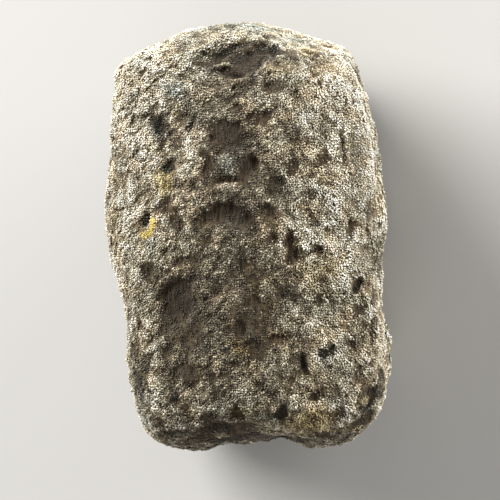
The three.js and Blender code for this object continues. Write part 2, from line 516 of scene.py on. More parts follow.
# Dirt and painted shade: most front patches darken the middle and lower end, as shade would.
# The patches on the back and the head are dirt.
SOIL_AND_SHADE = (
    Stain((-1.6, 7.2), (7.0, 12.0), 0, 0.8),
    Stain((-4.8, 18.6), (5.0, 5.6), 0, 0.72),
    Stain((5.2, 13.0), (4.3, 12.0), 0, 0.5),
    Stain((-1.0, 29.0), (9.0, 2.2), 0, 0.3),
    Stain((8.8, 27.4), (4.2, 2.0), -25, 0.4),
    Stain((-4.6, -11.0), (12.8, 13.0), 0, 0.83),
    Stain((-1.8, -20.0), (12.5, 6.0), 0, 0.6),
    Stain((0.6, 22.8), (6.8, 4.6), 0, 0.85),
    Stain((5.4, 24.2), (2.4, 3.0), 0, 0.5),
    Stain((-1.0, -28.5), (18.0, 6.0), 0, 0.35),
    Stain((-15.8, -23.2), (3.4, 5.0), 0, 0.85),
    Stain((-11.0, 18.6), (2.0, 2.0), 0, 0.7),
    Stain((-9.4, 7.8), (1.5, 4.8), 0, 0.65),
    Stain((-16.4, -1.6), (3.2, 2.4), 0, 0.3),
    Stain((-6.0, 0.6), (6.0, 1.8), 8, 0.8),
    Stain((2.2, 6.0), (4.6, 6.0), 0, 0.7),
    # painted shadow on the foot's rim, where it curls under
    Stain((0.0, -28.3), (15.0, 2.3), 0, 1.0),
    Stain((0.0, 30.6), (15.0, 1.6), 0, 0.15),
    Stain((8.0, -15.0), (14.0, 15.0), 0, 0.17),
    Stain((5.9, -8.6), (3.3, 8.5), 0, 0.65),
    Stain((3.4, -16.0), (2.6, 2.4), 0, 0.85),
    Stain((8.6, -15.6), (2.2, 4.6), 0, 0.5),
    Stain((-12.0, 15.5), (2.3, 2.9), 0, 0.85),
    Stain((-15.6, 12.8), (1.5, 2.0), 0, 0.35),
    Stain((-10.7, 9.8), (1.6, 2.0), 0, 0.85),
    Stain((-12.0, 0.4), (3.0, 1.9), 0, 0.4),
    Stain((-15.8, -11.5), (1.8, 4.0), 0, 0.5),
    Stain((-15.2, -18.6), (3.0, 6.4), 0, 0.75),
    Stain((11.2, 5.6), (1.5, 5.0), 0, 0.3),
    Stain((18.9, -3.0), (1.7, 4.4), 0, 0.5),
    Stain((18.6, -10.8), (1.4, 3.4), 0, 0.65),
    # painted shade where the lower right turns away from the light
    Stain((18.0, -22.0), (2.4, 4.4), -15, 0.8),
    Stain((14.6, -27.0), (6.0, 2.6), 30, 0.8),
    Stain((2.0, 4.0), (13.0, 18.0), 15, 0.8, Side.BACK),
    Stain((-2.0, 6.0), (13.0, 6.0), 10, 0.4, Side.HEAD),
)

BLEACHED = (
    Stain((-6.5, 28.7), (5.5, 2.6), 18, 0.6),
    Stain((0.5, 29.6), (6.0, 2.9), 0, 1.0),
    Stain((7.5, 27.6), (3.6, 2.0), -28, 0.7),
    Stain((-1.5, 24.2), (6.0, 2.8), 0, 0.5),
    Stain((-9.6, 20.8), (1.6, 1.2), 0, 0.8),
    Stain((-2.5, 10.1), (1.9, 1.5), 0, 0.9),
)

FIBRES = (
    Stain((18.2, 1.0), (1.4, 5.0), 0, 0.8),
    Stain((14.4, 11.0), (1.3, 4.6), 12, 0.6),
    Stain((19.6, -14.5), (1.5, 6.5), 0, 1.0),
    Stain((-19.4, 0.2), (1.0, 3.2), 0, 1.0),
)

# Blue-black stains and painted shade: most darken the hollows, the chip's pit and lower corners.
DARK_STAINS_AND_SHADE = (
    Stain((-12.4, 15.2), (1.6, 2.4), 18, 0.8),
    Stain((-10.9, 9.4), (1.2, 1.2), 0, 0.9),
    Stain((11.5, -15.7), (1.6, 1.1), 0, 0.9),
    Stain((1.2, 21.4), (1.3, 1.1), 0, 0.6),
    # painted shadow under the head's rim
    Stain((3.6, 25.7), (3.9, 0.9), -16, 0.8),
    Stain((-3.0, 26.0), (3.6, 0.6), 12, 0.8),
    Stain((15.5, -6.7), (0.6, 0.9), -20, 1.0),
    Stain((8.1, -17.4), (0.8, 1.4), 0, 0.6),
    Stain((5.2, -24.3), (0.7, 1.3), -28, 0.6),
    Stain((18.0, -22.2), (1.1, 2.6), -20, 0.8),
    # painted shadow in the chip's pit
    Stain((-14.0, 2.1), (0.7, 0.8), 0, 1.0),
    Stain((-2.9, -27.3), (2.0, 1.0), 0, 0.25),
    Stain((10.1, -21.8), (1.3, 0.9), 20, 0.6),
    Stain((-9.8, -22.7), (1.1, 0.7), 0, 0.7),
    Stain((-2.6, 13.3), (3.6, 2.5), 0, 0.35),
    Stain((-2.5, 3.0), (4.4, 1.7), 0, 0.2),
    Stain((-8.8, -8.5), (3.2, 3.0), 15, 0.3),
    Stain((-14.9, -23.2), (2.6, 4.0), 15, 0.5),
    Stain((-9.0, -29.6), (5.0, 1.2), 6, 0.4),
    Stain((6.0, -8.0), (2.4, 2.0), 0, 0.7, Side.BACK),
    Stain((-4.0, 8.0), (1.8, 2.2), 0, 0.7, Side.LEFT),
)

CHIP = Stain((-13.9, 1.8), (1.75, 1.7), 0, 0.85)  # the ring that its crescent is part of


@dataclass
class WornBlock:
    """The block's broad form: the frame's, its outline worked finer, on a finer lattice.

    Its radius in a direction d from the middle is (sum of term^wear)^(-1/wear). One term is
    how far d reaches across the outline's plane, divided by the outline's radius there. The
    others are d's share of the way to each flat.
    """

    width: float = 46.0
    length: float = 61.0
    thickness: float = 32.0
    wear: float = 12.0
    lattice: tuple[int, int, int] = (128, 172, 90)

    def outline_radius(self, angle: Array) -> Array:
        """A Catmull-Rom curve through the outline points' radii, by their angles.

        Args:
            angle: directions in the outline's plane, in radians from its right.

        Returns:
            The outline's radius in each direction.
        """
        across, along = np.array(OUTLINE).T
        order = np.argsort(np.arctan2(along, across))
        turns = np.arctan2(along, across)[order]
        radii = np.hypot(across, along)[order]
        turns = np.concatenate([turns[-2:] - 2 * np.pi, turns, turns[:2] + 2 * np.pi])
        radii = np.concatenate([radii[-2:], radii, radii[:2]])
        k = np.clip(np.searchsorted(turns, angle, side="right") - 1, 1, len(turns) - 3)
        span = turns[k + 1] - turns[k]
        t = (angle - turns[k]) / span
        leave = (radii[k + 1] - radii[k - 1]) / (turns[k + 1] - turns[k - 1]) * span
        arrive = (radii[k + 2] - radii[k]) / (turns[k + 2] - turns[k]) * span
        start, end = 2 * t**3 - 3 * t**2 + 1, 3 * t**2 - 2 * t**3
        curved = (t**3 - 2 * t**2 + t) * leave + (t**3 - t**2) * arrive
        return start * radii[k] + end * radii[k + 1] + curved

    def radius(self, direction: Array) -> Array:
        """The worn block's radius in each direction, by the class's formula.

        Args:
            direction: unit vectors from the block's middle, one row each.

        Returns:
            The radius along each of them.
        """
        right = direction @ facing(-FACE_TURN)
        reach = np.hypot(right, direction[:, 1])
        outline = self.outline_radius(np.arctan2(direction[:, 1], right))
        total = (reach / outline) ** self.wear
        for flat in FLATS.values():
            share = direction @ facing(flat.turn, flat.tilt) / flat.distance
            total += np.maximum(0.0, share) ** self.wear
        return total ** (-1.0 / self.wear)

    def box(self) -> Surface:
        """A closed box from -1 to 1 whose six sides are grids that share their edge points.

        Returns:
            The box, with as many steps along each edge as the lattice says.
        """
        steps = np.array(self.lattice)
        keys, counts = [], []
        for fixed, end in itertools.product(range(3), (0, 1)):
            a, b = (k for k in range(3) if k != fixed)
            grid = np.zeros((steps[a] + 1, steps[b] + 1, 3), dtype=np.int64)
            grid[..., a], grid[..., b] = np.indices(grid.shape[:2])
            grid[..., fixed] = end * steps[fixed]
            keys.append(grid.reshape(-1, 3))
            counts.append(grid.shape[:2])
        every = np.concatenate(keys)
        code = (every[:, 0] * (steps[1] + 1) + every[:, 1]) * (steps[2] + 1) + every[:, 2]
        _, first, index = np.unique(code, return_index=True, return_inverse=True)
        points = every[first] / steps * 2.0 - 1.0
        faces, start = [], 0
        for rows, columns in counts:
            at = index.reshape(-1)[start : start + rows * columns].reshape(rows, columns)
            start += rows * columns
            side = np.stack([at[:-1, :-1], at[1:, :-1], at[1:, 1:], at[:-1, 1:]], axis=-1)
            faces.append(self._outward(points, side.reshape(-1, 4)))
        return Surface(points, np.concatenate(faces))

    @staticmethod
    def _outward(points: Array, faces: Array) -> Array:
        """The faces of one side of the box, reversed if they face its middle.

        Args:
            points: the box's points.
            faces: the side's faces, which all face the same way.

        Returns:
            The faces, facing out.
        """
        corner = points[faces[0]]
        crossed = np.cross(corner[2] - corner[0], corner[3] - corner[1])
        return faces if crossed @ corner.mean(axis=0) > 0 else faces[:, ::-1]

    def surface(self) -> Surface:
        """The block with its broad swells: sines of each swell's phase, added along normals.

        Returns:
            The block's surface, about its middle.
        """
        block = self.box()
        direction = block.points * np.array([self.width, self.length, self.thickness])
        direction /= np.linalg.norm(direction, axis=1, keepdims=True)
        block.points = direction * self.radius(direction)[:, None]
        lift = np.zeros(len(block.points))
        for swell in SWELLS:
            along = np.array(swell.along) / np.linalg.norm(swell.along)
            wave = 2 * np.pi / swell.length * (block.points @ along) + swell.phase
            lift += swell.height * np.sin(wave)
        block.raise_by(lift)
        return block


@dataclass
class Weathering:
    """The relief that weather has cut into the block, and what each place is bared to.

    marks holds one number from 0 to 1 for every point and every name: bare for a floor with
    no grains, knob for a raised one, fibre for the old wood's grain, split for what a flake
    has left, soil for dirt and for painted shade, high for how far a point stands up, bed for
    the rubbed underside, and bleached, ochre, dark and chip for mineral colours, where dark is
    also painted shade. Sizes are in millimetres. A fade is the pair of values between which
    something eases in or out.
    """

    seed: int = 11
    ragged: tuple[tuple[float, float], ...] = ((0.55, 1.9), (0.22, 0.8))  # shift and size

    # Hollows and knobs. An edge's two shares shift with how far up the point lies.
    reach_through: float = 1.5  # how far one reaches square to its side, in its half size
    middle_share: float = 0.2  # the share within which a point's way up fades out
    fall: tuple[float, float] = (0.35, 0.3)  # the share where an edge starts, and its shift
    rim: tuple[float, float] = (1.2, -0.1)  # the share where it ends, and its shift
    floor_fade: tuple[float, float] = (0.55, 1.15)
    dust: float = 0.45  # the part of each hollow's depth that dust has filled
    knob_clear: float = 2.5  # a knob's share free of soil and painted shade, per mm of its height
    knob_cleared: float = 0.6  # the share of soil and painted shade that a knob has lost

    # The drawn hollows of the other sides.
    hollow_width: tuple[float, float] = (1.4, 0.5)  # half of it, and its spread in logarithm
    hollow_stretch: tuple[float, float] = (0.5, 1.2)  # least and most, over its side's own
    hollow_lean: float = 60.0  # degrees, the most that one that isn't drawn out leans
    hollow_depth: tuple[float, float] = (0.6, 1.1)  # least and most, at a half width of 1
    hollow_power: float = 0.7  # how fast the depth grows with the width
    hollow_bare: float = 0.85  # the most that a drawn hollow's floor is bared

    # Stains.
    stain_fade: tuple[float, float] = (0.35, 1.25)
    stain_ragged: float = 1.6  # how ragged a stain's edge is, over a hollow's
    bleached_ragged: float = 1.5  # how much more a bleached one's is
    soil_and_shade_ragged: float = 2.5  # how much more ragged a patch of soil and painted shade is

    # Flakes and the soil of the hidden sides.
    hidden_fade: tuple[float, float] = (-0.35, 0.25)  # by how far a point faces away
    flake_size: tuple[float, float, float] = (6.0, 17.0, 6.0)
    flake_depth: float = 0.5
    split_fade: tuple[float, float] = (-0.22, -0.08)
    drift: float = 11.0  # a drift of soil
    drift_shift: float = 7.3  # cells, so that drifts and flakes don't share their places
    drift_fade: tuple[float, float] = (-0.35, 0.45)
    buried: tuple[float, float, float] = (-0.62, 0.78, 0.0)  # the way the buried part faces
    buried_fade: tuple[float, float] = (0.0, 0.9)
    soil_most: float = 0.95  # the most soil that lies anywhere
    soil_shares: tuple[float, ...] = (0.3, 0.35, 0.1, 0.25)  # even, drifted, split and buried

    # The yellow chip: a part of a ring.
    chip_ragged: float = 0.25
    chip_band: tuple[float, ...] = (0.48, 0.7, 1.0, 1.15)  # where its ring fades in and out
    chip_turn: float = -40.0  # degrees from the right, the way to its crescent's middle
    chip_turn_fade: tuple[float, float] = (70.0, 95.0)  # degrees to each side of that
    chip_height: float = 0.3
    chip_rise: tuple[float, float] = (0.6, 0.9)  # the shares between which it rises

    # Pits.
    pits: int = 300
    pit_radius: tuple[float, float] = (0.45, 1.25)
    pit_depth: tuple[float, float] = (0.2, 0.45)
    pit_stretch: float = 1.3  # a pit's length along the grain over its width
    pit_fade: tuple[float, float] = (0.25, 1.0)
    pit_floor_fade: tuple[float, float] = (0.6, 0.95)

    # Lumps and ridges, by height and size or by height, length and width.
    lump: tuple[float, float] = (0.32, 5.2)
    side_lump: tuple[float, float] = (0.3, 2.8)
    side_fade: tuple[float, float] = (-0.2, 0.2)  # by how far a point faces away
    wide_ridge: tuple[float, float, float] = (0.28, 4.6, 1.9)
    narrow_ridge: tuple[float, float, float] = (0.2, 2.2, 1.1)
    fine_ridge: tuple[float, float, float] = (0.14, 1.6, 0.8)
    fine_pock: tuple[float, float] = (0.22, 0.95)
    pock_level: float = 0.28  # the square of the way to a middle that is neither up nor down
    lump_bared: float = 0.3  # the share of the lumps that a bared floor has lost
    fibre_smooth: float = 0.85  # the share of the fine relief that fibre has lost
    high_gain: tuple[float, float] = (0.8, 1.2)  # per mm of the lumps and the fine relief

    # Low ground between the lumps, where the grains thin out.
    low_fade: tuple[float, float] = (0.02, 0.42)  # by how low it is
    low_in_soil_and_shade: float = 0.12  # how much less low it must be in soil and painted shade
    low_bare: tuple[float, float] = (0.4, 0.6)  # the share that is bared, and more in soil and painted shade
    low_most: float = 0.95  # the most that low ground is bared

    # The old wood's grain.
    fibre_width: float = 0.65
    fibre_length: float = 10.0
    fibre_patch: tuple[float, float, float] = (9.0, 22.0, 9.0)
    fibre_fade: tuple[float, float] = (-0.1, 0.4)
    flank_fade: tuple[float, float] = (0.8, 0.98)  # by how far a point faces left or right
    back_fade: tuple[float, float] = (-0.4, 0.1)  # by how far it faces away
    groove_height: tuple[float, float] = (0.36, 0.1)  # on fibre, and on a bared floor
    groove_sharp: tuple[float, float] = (2.4, 0.6)  # depth over crest, and the noise's power

    # The bed.
    bed_cut: float = 1.4
    bed_edge: float = 0.25  # the height over which the bed's rubbing fades out
    bed_dent: tuple[float, float] = (0.3, 1.3)  # height and size
    bed_seed: int = 51

    marks: dict[str, Array] = field(default_factory=dict)

    def mark(self, name: str, strength: Array) -> None:
        """Raises a mark to a strength, wherever that is more."""
        self.marks[name] = np.maximum(self.marks[name], strength)

    def share_of(self, stone: Surface, mark: Hollow | Stain, warp: Array) -> tuple[Array, Array]:
        """How far each point is from a mark's middle, 1 at its edge, and how far up it lies.

        The way from the middle is taken along the side's own axes, turned by the lean and
        divided by the half sizes. Square to the side it is divided by the larger of them and
        by reach_through.

        Args:
            stone: the surface that is marked.
            mark: the hollow or stain.
            warp: how far each point is shifted first, in mm, for a ragged edge.

        Returns:
            The share of the way, and the part of it that is along the block, -1 to 1.
        """
        right, up, out = mark.side.axes()
        away = stone.points + warp - stone.spot(mark.side, mark.at)
        lean = np.radians(mark.lean)
        level, rise = away @ right, away @ up
        across = (level * np.cos(lean) + rise * np.sin(lean)) / mark.size[0]
        along = (rise * np.cos(lean) - level * np.sin(lean)) / mark.size[1]
        deep = away @ out / (self.reach_through * max(mark.size))
        share = np.sqrt(across**2 + along**2 + deep**2)
        return share, along / np.maximum(share, self.middle_share)

    def sink_hollows(self, stone: Surface, hollows: Iterable[Hollow], warp: Array) -> None:
        """Sinks the hollows together, each point by the deepest, and then raises the knobs.

        A hollow's edge is steep towards the head end and eases out towards the foot: it runs
        from a fall share to a rim share that both shift with how far up the point lies.

        Args:
            stone: the surface, which is changed.
            hollows: what to sink or, where the depth is negative, to raise.
            warp: how far each point is shifted for the ragged edges, in mm.
        """
        sink, lift = np.zeros(len(stone.points)), np.zeros(len(stone.points))
        for hollow in sorted(hollows, key=lambda each: each.depth < 0):
            share, upward = self.share_of(stone, hollow, warp)
            fall = self.fall[0] + self.fall[1] * upward
            rim = self.rim[0] + self.rim[1] * upward
            inside = 1.0 - ease(share, fall, rim)
            if hollow.depth < 0:
                lift = np.maximum(lift, -hollow.depth * inside)
                sink *= 1.0 - inside
                self.marks["bare"] *= 1.0 - inside
                self.mark("knob", inside * min(1.0, -self.knob_clear * hollow.depth))
                continue
            sink = np.maximum(sink, (1.0 - self.dust) * hollow.depth * inside)
            self.mark("bare", hollow.bare * (1.0 - ease(share, *self.floor_fade)))
        stone.raise_by(lift - sink)

    def scattered(self, rng: np.random.Generator) -> list[Hollow]:
        """Draws the hollows of the other sides, mostly small and each deeper if it is wider.

        Args:
            rng: where the draws come from.

        Returns:
            The hollows.
        """
        hollows = []
        for some in SCATTER:
            for _ in range(some.count):
                at = (rng.uniform(*some.across), rng.uniform(*some.along))
                width = self.hollow_width[0] * np.exp(rng.normal(0.0, self.hollow_width[1]))
                size = (width, width * some.stretch * rng.uniform(*self.hollow_stretch))
                lean = rng.uniform(-self.hollow_lean, self.hollow_lean) / some.stretch
                depth = rng.uniform(*self.hollow_depth) * width**self.hollow_power
                bare = self.hollow_bare * rng.uniform(0.0, 1.0)
                hollows.append(Hollow(at, size, lean, depth, bare, some.side))
        return hollows

    def stain(self, stone: Surface, name: str, stains: Iterable[Stain], warp: Array) -> None:
        """Adds patches of one mineral colour to the marks, fading out towards their edges.

        Args:
            stone: the surface that is stained.
            name: the mark that the patches are added to.
            stains: the patches.
            warp: how far each point is shifted for the ragged edges, in mm.
        """
        for patch in stains:
            share, _ = self.share_of(stone, patch, self.stain_ragged * warp)
            self.mark(name, patch.strength * (1.0 - ease(share, *self.stain_fade)))

    def flake(self, stone: Surface, noise: GradientNoise) -> None:
        """Splits thin flakes off the hidden sides along the grain, and dirties what is left.

        A flake has come off wherever noise that is drawn out along Y is low. Soil lies there,
        in broad drifts, and most of all on the part that was buried.

        Args:
            stone: the surface, which is changed.
            noise: where the flakes and the drifts come from.
        """
        hidden = ease(-(stone.normals() @ Side.FRONT.axes()[2]), *self.hidden_fade)
        flakes = noise.value(stone.points / np.array(self.flake_size))
        split = 1.0 - ease(flakes, *self.split_fade)
        drifts = noise.value(stone.points / self.drift + self.drift_shift)
        drift = ease(drifts, *self.drift_fade)
        buried = ease(stone.normals() @ np.array(self.buried), *self.buried_fade)
        even, drifted, by_split, by_burial = self.soil_shares
        share = even + drifted * drift + by_split * split + by_burial * buried
        self.mark("soil_and_shade", self.soil_most * share * hidden)
        self.marks["split"] = split * hidden
        stone.raise_by(-self.flake_depth * split * hidden)

    def peck(self, stone: Surface, rng: np.random.Generator, warp: Array) -> None:
        """Pecks small ragged pits all over, each a little longer along the grain.

        Args:
            stone: the surface, which is changed.
            rng: where the pits' places and sizes come from.
            warp: how far each point is shifted for the ragged edges, in mm.
        """
        sink = np.zeros(len(stone.points))
        middles = stone.points[rng.integers(0, len(stone.points), self.pits)]
        radii = rng.uniform(*self.pit_radius, self.pits)
        depths = rng.uniform(*self.pit_depth, self.pits)
        bares = rng.uniform(0.0, 1.0, self.pits) ** 2
        for middle, radius, depth, bare in zip(middles, radii, depths, bares, strict=True):
            away = (stone.points + warp - middle) / np.array([1.0, self.pit_stretch, 1.0])
            share = np.linalg.norm(away, axis=1) / radius
            sink = np.maximum(sink, depth * (1.0 - ease(share, *self.pit_fade)))
            self.mark("bare", bare * (1.0 - ease(share, *self.pit_floor_fade)))
        stone.raise_by(-sink)

    def weather(self, stone: Surface) -> None:
        """Works all the relief into the block, from the broadest to the finest.

        Args:
            stone: the block's surface, which is changed. The marks are filled in.
        """
        rng = np.random.default_rng(self.seed)
        noise = [GradientNoise(self.seed + k) for k in range(8)]
        for name in ("bare", "knob", "fibre", "bleached", "ochre", "dark", "chip", "soil_and_shade"):
            self.marks[name] = np.zeros(len(stone.points))
        warp = np.zeros_like(stone.points)
        for shift, size in self.ragged:
            place = stone.points / size
            warp += np.stack([shift * noise[k].value(place) for k in range(3)], axis=1)
        self.sink_hollows(stone, FRONT_HOLLOWS, warp)
        self.sink_hollows(stone, self.scattered(rng), warp)
        self.stain(stone, "bleached", BLEACHED, self.bleached_ragged * warp)
        self.stain(stone, "ochre", OCHRE, warp)
        # dark stains, with painted shade in the hollows and under the rim
        self.stain(stone, "dark", DARK_STAINS_AND_SHADE, warp)
        # soil stains, with painted shade on the front
        self.stain(stone, "soil_and_shade", SOIL_AND_SHADE, self.soil_and_shade_ragged * warp)
        self.marks["soil_and_shade"] *= 1.0 - self.knob_cleared * self.marks["knob"]
        self.flake(stone, noise[5])
        self.stain(stone, "fibre", FIBRES, warp)
        self.chip(stone, warp)
        self.peck(stone, rng, warp)
        self.roughen(stone, noise)

    def roughen(self, stone: Surface, noise: list[GradientNoise]) -> None:
        """Adds the lumps, ridges, pocks and grooves, and bares the low ground between lumps.

        Lumps and ridges are noise, and fine pocks are the square of the way to the nearest of
        many scattered middles. Bared floors and fibre have lost some of each.

        Args:
            stone: the surface, which is changed.
            noise: where each kind of relief comes from.
        """
        place = stone.points
        fibre = np.maximum(self.marks["fibre"], self.fibre_mask(stone, noise[4]))
        height, size = self.lump
        lumps = height * noise[3].value(place / size)
        (wide, *wide_size), (narrow, *narrow_size) = self.wide_ridge, self.narrow_ridge
        ridges = wide * flow(place, noise[4], *wide_size)
        lumps += ridges + narrow * flow(place, noise[7], *narrow_size)
        level = stone.normals() @ Side.FRONT.axes()[2]
        height, size = self.side_lump
        lumps += height * noise[2].value(place / size) * ease(-level, *self.side_fade)
        # Soil and painted shade bare the low ground sooner and more.
        soil_and_shade = self.marks["soil_and_shade"]
        start, end = (edge - self.low_in_soil_and_shade * soil_and_shade for edge in self.low_fade)
        thin = ease(-lumps, start, end) * (self.low_bare[0] + self.low_bare[1] * soil_and_shade)
        bare = np.maximum(self.marks["bare"], self.low_most * thin)
        pock, size = self.fine_pock
        away, _ = noise[5].cells(place / size)
        ridge, *ridge_size = self.fine_ridge
        fine = pock * (self.pock_level - away**2)
        fine += ridge * flow(place, noise[6], *ridge_size)
        grooves = self.grooves(place, noise[7])
        rough = (1.0 - bare) * (1.0 - self.fibre_smooth * fibre)
        raised = lumps * (1.0 - self.lump_bared * self.marks["bare"]) + fine * rough
        on_fibre, on_floor = self.groove_height
        raised += on_fibre * fibre * grooves + on_floor * grooves * bare
        self.marks["fibre"] = fibre
        self.marks["bare"] = bare
        broad, sharp = self.high_gain
        high = 0.5 + broad * lumps + sharp * fine * rough
        self.marks["high"] = np.clip(high, 0.0, 1.0)
        stone.raise_by(raised)

    def chip(self, stone: Surface, warp: Array) -> None:
        """The yellow chip: a crescent of rust-yellow silica round the foot side of one pit.

        It is the part of a ring, between two shares of the way out from the ring's middle,
        that lies within an angle of the crescent's own middle.

        Args:
            stone: the surface, which is changed.
            warp: how far each point is shifted for the ragged edges, in mm.
        """
        share, _ = self.share_of(stone, CHIP, self.chip_ragged * warp)
        right, up, _ = CHIP.side.axes()
        away = stone.points - stone.spot(CHIP.side, CHIP.at)
        angle = np.degrees(np.arctan2(away @ up, away @ right))
        band = ease(share, *self.chip_band[:2]) * (1.0 - ease(share, *self.chip_band[2:]))
        turn = 1.0 - ease(np.abs(angle - self.chip_turn), *self.chip_turn_fade)
        self.marks["chip"] = CHIP.strength * band * turn
        stone.raise_by(self.chip_height * ease(share, *self.chip_rise) * band * turn)

    def fibre_mask(self, stone: Surface, noise: GradientNoise) -> Array:
        """Where the old wood's grain shows: in patches on the flanks and on the back.

        Args:
            stone: the surface.
            noise: where the patches come from.

        Returns:
            One number from 0 to 1 for each point.
        """
        normal = stone.normals()
        right, _, out = Side.FRONT.axes()
        sideways = ease(np.abs(normal @ right), *self.flank_fade)
        sideways = sideways * ease(-(normal @ out), *self.back_fade)
        patch = ease(noise.value(stone.points / np.array(self.fibre_patch)), *self.fibre_fade)
        return sideways * np.maximum(patch, self.marks["split"])

    def grooves(self, place: Array, noise: GradientNoise) -> Array:
        """Furrows along the grain: noise that is drawn out along Y, sharpened by its size.

        Args:
            place: positions, one row each, in mm.
            noise: where the furrows come from.

        Returns:
            Each point's height, 1 on the crests and about -1 in the furrows.
        """
        long = np.array([self.fibre_width, self.fibre_length, self.fibre_width])
        depth, power = self.groove_sharp
        return 1.0 - depth * np.abs(noise.value(place / long)) ** power

    def settle(self, stone: Surface, inset: float) -> None:
        """Cuts the bed flat and fits the stone to the frame's box, less an inset for grains.

        Args:
            stone: the surface, which is changed to lie where the frame's node does.
            inset: how far inside the box the surface stays, in mm.
        """
        low, high = (np.array(corner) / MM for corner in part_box(NODE))
        points = stone.points
        bed = points[:, 2].min() + self.bed_cut
        worn = np.clip((bed + self.bed_edge - points[:, 2]) / self.bed_edge, 0.0, 1.0)
        height, size = self.bed_dent
        dents = GradientNoise(self.bed_seed).value(points / size)
        points[:, 2] = np.maximum(points[:, 2], bed + height * worn * np.maximum(0.0, dents))
        self.marks["bed"] = worn
        least = points.min(axis=0)
        span = points.max(axis=0) - least
        low, high = low + inset, high - inset
        stone.points = (points - least) / span * (high - low) + low


MIX_FACTOR, MIX_A, MIX_B, MIX_RESULT = 0, 6, 7, 2  # a colour Mix node's sockets
QUARTZ_IOR = 1.54
DETAIL = 3.0  # how many times a noise texture adds finer detail to itself


@dataclass(frozen=True)
class MineralStainsAndShade:
    """Iron and manganese seeped into silica: ochre, rust-yellow, blue-black; also painted shade.
    """

    film: str = "#fcf3e6"
    ash: str = "#dadddc"
    bleached: str = "#e0ebf8"
    ochre: str = "#e2d29a"
    # blue-black stain, and painted shade in the hollows and under the rim
    dark: str = "#5f6869"
    chip: str = "#bda95c"
    film_patch: float = 3.4  # mm, a patch of iron film
    film_start: float = 0.42  # the noise at which it starts
    ash_patch: float = 5.0  # mm, a patch of leached grey silica
    ash_start: float = 0.5
    patch_edge: float = 0.2  # how much more noise makes a patch whole

    def over(
        self, tree: bpy.types.NodeTree, colour: bpy.types.NodeSocket
    ) -> bpy.types.NodeSocket:
        """Lays thin films over a colour in patches, then the stains, each by its own mark.

        Args:
            tree: the material's node tree.
            colour: the unstained colour.

        Returns:
            The stained colour.
        """
        place = add_node(tree, "ShaderNodeTexCoord").outputs["Object"]
        layers = []
        for tint, patch, start in (
            (self.film, self.film_patch, self.film_start),
            (self.ash, self.ash_patch, self.ash_start),
        ):
            inputs = {"Vector": place, "Scale": 1 / (patch * MM), "Detail": DETAIL}
            cloud = add_node(tree, "ShaderNodeTexNoise", inputs).outputs["Fac"]
            inputs = {"Value": cloud, "From Min": start, "From Max": start + self.patch_edge}
            share = add_node(tree, "ShaderNodeMapRange", inputs).outputs["Result"]
            layers.append((share, tint, "MULTIPLY"))
        for name, tint, blend in (
            ("bleached", self.bleached, "MULTIPLY"),
            ("ochre", self.ochre, "MULTIPLY"),
            # blue-black stain and painted shade
            ("dark", self.dark, "MULTIPLY"),
            ("chip", self.chip, "MIX"),
        ):
            mark = add_node(tree, "ShaderNodeAttribute", attribute_name=name).outputs["Fac"]
            layers.append((mark, tint, blend))
        for share, tint, blend in layers:
            inputs = {MIX_FACTOR: share, MIX_A: colour, MIX_B: linear(tint)}
            mix = add_node(tree, "ShaderNodeMix", inputs, data_type="RGBA", blend_type=blend)
            colour = mix.outputs[MIX_RESULT]
        return colour


